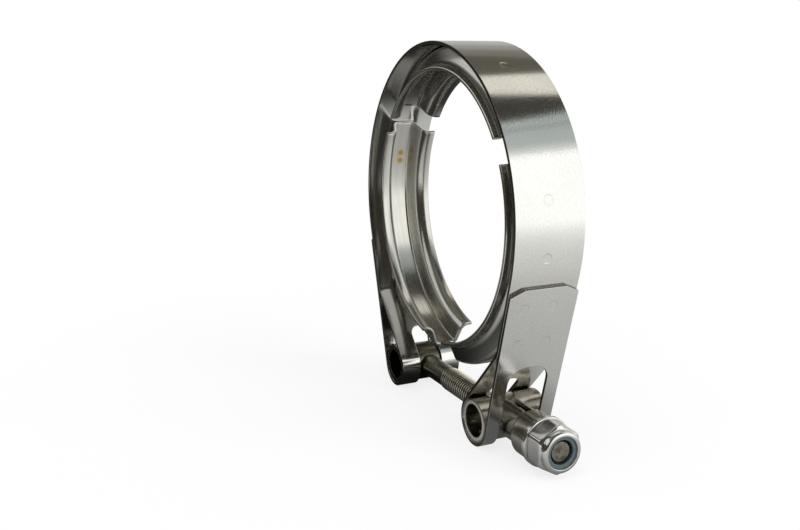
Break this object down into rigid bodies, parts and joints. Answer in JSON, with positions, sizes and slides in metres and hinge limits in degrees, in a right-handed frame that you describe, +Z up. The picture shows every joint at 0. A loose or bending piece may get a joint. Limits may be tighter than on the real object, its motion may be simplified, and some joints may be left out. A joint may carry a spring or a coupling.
{
  "type": "v band clamp",
  "caption": "Steel band clamp with V-section retainers inside and a T-bolt, trunnion and lock nut, which pulls two flanged tubes together.",
  "frame": {"origin": "centre of the ring, on its axis, in the middle of the band's width", "axes": "+Y along the ring's axis; +Z up, away from the closure; +X along the T-bolt, towards the nut"},
  "size_m": [0.1107, 0.022, 0.1184],
  "materials": {
    "band_steel": "satin, finely grained along the strip",
    "retainer_steel": "satin, as rolled",
    "trunnion_steel": "bright, slightly straw-tinted",
    "bolt_steel": "bright, rolled thread",
    "nut_steel": "bright",
    "nylon": "dull blue-grey"
  },
  "bodies": {
    "clamp_frame": {"outer_band": "band_steel", "top_retainer": "retainer_steel", "left_retainer": "retainer_steel", "right_retainer": "retainer_steel", "bolt_barrel": "trunnion_steel", "t_bolt": "bolt_steel", "nut_trunnion": "trunnion_steel"},
    "washer_body": {"flat_washer": "nut_steel"},
    "nut_body": {"lock_nut": "nut_steel", "nylon_insert": "nylon"}
  },
  "joints": [
    {"name": "nut_travel", "type": "slide", "parent": "clamp_frame", "child": "washer_body", "axis": [1, 0, 0], "range_m": [0, 0.007]},
    {"name": "nut_turn", "type": "hinge", "parent": "washer_body", "child": "nut_body", "pos_m": [0.0517, 0, -0.0598], "axis": [1, 0, 0], "range_deg": [0, 2010]}
  ],
  "couplings": [
    {"joint": "nut_travel", "follows": "nut_turn", "m_per_rad": 0.00019894}
  ]
}
